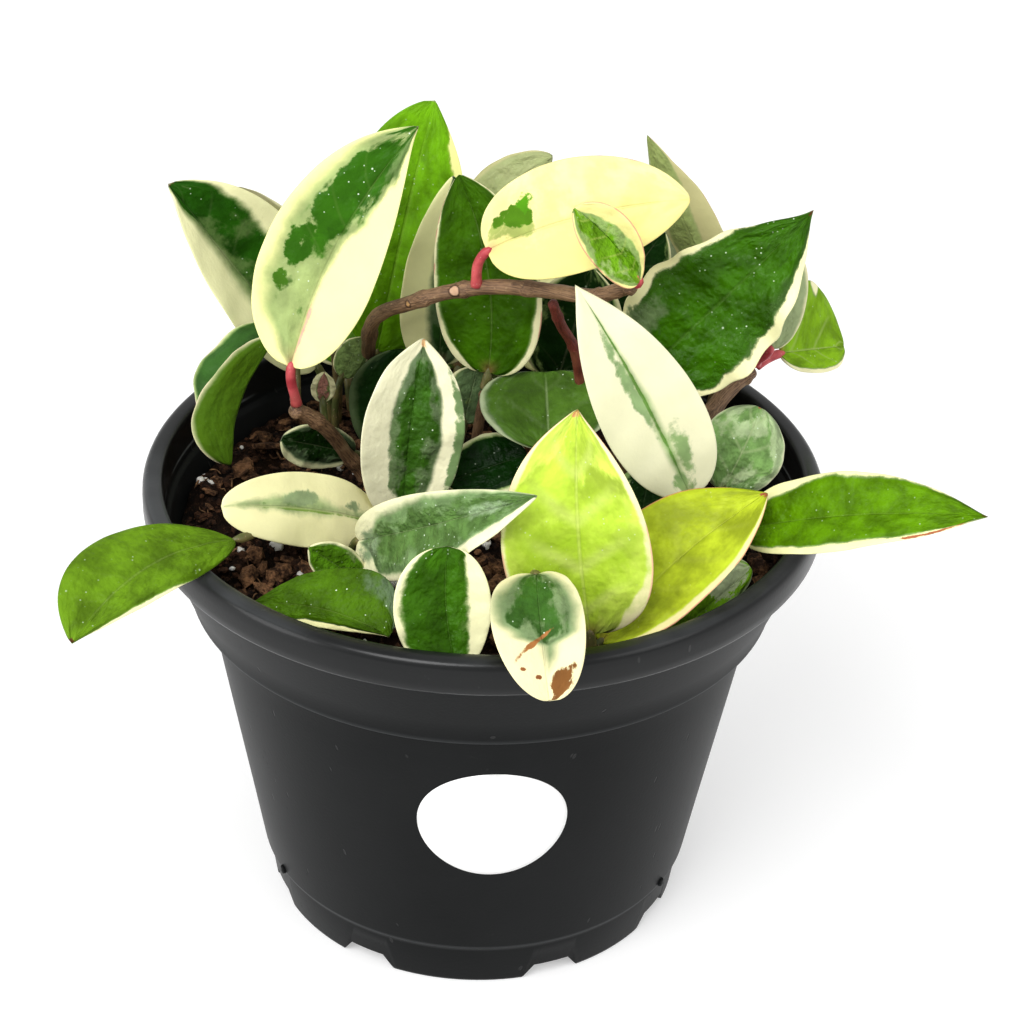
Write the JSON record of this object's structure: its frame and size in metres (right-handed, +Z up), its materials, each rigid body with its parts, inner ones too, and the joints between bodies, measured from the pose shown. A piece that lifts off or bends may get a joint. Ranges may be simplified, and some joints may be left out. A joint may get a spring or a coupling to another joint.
{
  "type": "potted plant",
  "caption": "Bushy potted wax plant with cream and green variegated leaves on short arching vines, in a round black nursery pot full of bark soil.",
  "frame": {"origin": "centre of the pot's flat underside", "axes": "+Z up out of the pot, -Y towards the front, where the blank oval label is, +X to the right seen from the front"},
  "size_m": [0.2009, 0.1873, 0.1952],
  "materials": {
    "pot_plastic": "satin black moulded plastic",
    "soil": "loose dark potting mix of bark, peat and perlite",
    "label": "blank white sticker",
    "bark": "grey-brown woody vine",
    "red_stem": "dark red young vine",
    "green_stem": "green young vine",
    "leaf_cream": "waxy cream leaf with a green middle",
    "leaf_deep": "waxy deep green leaf with a thin cream edge",
    "leaf_bright": "waxy bright green leaf with a cream edge",
    "leaf_lime": "waxy yellow-green young leaf with a pink edge",
    "leaf_sage": "pale sage leaf with cream margins"
  },
  "bodies": {
    "root": {"pot": "pot_plastic", "soil": "soil", "label": "label", "stem_arch": "bark", "stem_red": "red_stem", "stem_cut_left": "bark", "stem_right": "bark", "stem_middle": "bark", "stem_back": "green_stem", "leaf_01": "leaf_cream", "leaf_02": "leaf_cream", "leaf_03": "leaf_sage", "leaf_04": "leaf_deep", "leaf_05": "leaf_bright", "leaf_06": "leaf_cream", "leaf_07": "leaf_deep", "leaf_08": "leaf_sage", "leaf_09": "leaf_cream", "leaf_10": "leaf_deep", "leaf_11": "leaf_sage", "leaf_12": "leaf_deep", "leaf_13": "leaf_cream", "leaf_14": "leaf_sage", "leaf_15": "leaf_bright", "leaf_16": "leaf_sage", "leaf_17": "leaf_bright", "leaf_18": "leaf_lime", "leaf_19": "leaf_lime", "leaf_20": "leaf_bright", "leaf_21": "leaf_sage", "leaf_22": "leaf_cream", "leaf_23": "leaf_cream", "leaf_24": "leaf_deep", "leaf_25": "leaf_deep", "leaf_26": "leaf_deep", "leaf_27": "leaf_deep", "leaf_28": "leaf_bright", "leaf_29": "leaf_deep", "leaf_30": "leaf_deep", "leaf_31": "leaf_cream", "leaf_32": "leaf_deep", "leaf_33": "leaf_sage", "leaf_34": "leaf_cream", "leaf_35": "leaf_deep", "leaf_36": "leaf_sage", "leaf_37": "leaf_deep", "leaf_38": "leaf_deep", "leaf_39": "leaf_bright", "leaf_40": "leaf_deep", "leaf_41": "leaf_cream", "leaf_42": "leaf_bright", "leaf_43": "leaf_cream", "leaf_44": "leaf_deep"}
  },
  "joints": []
}
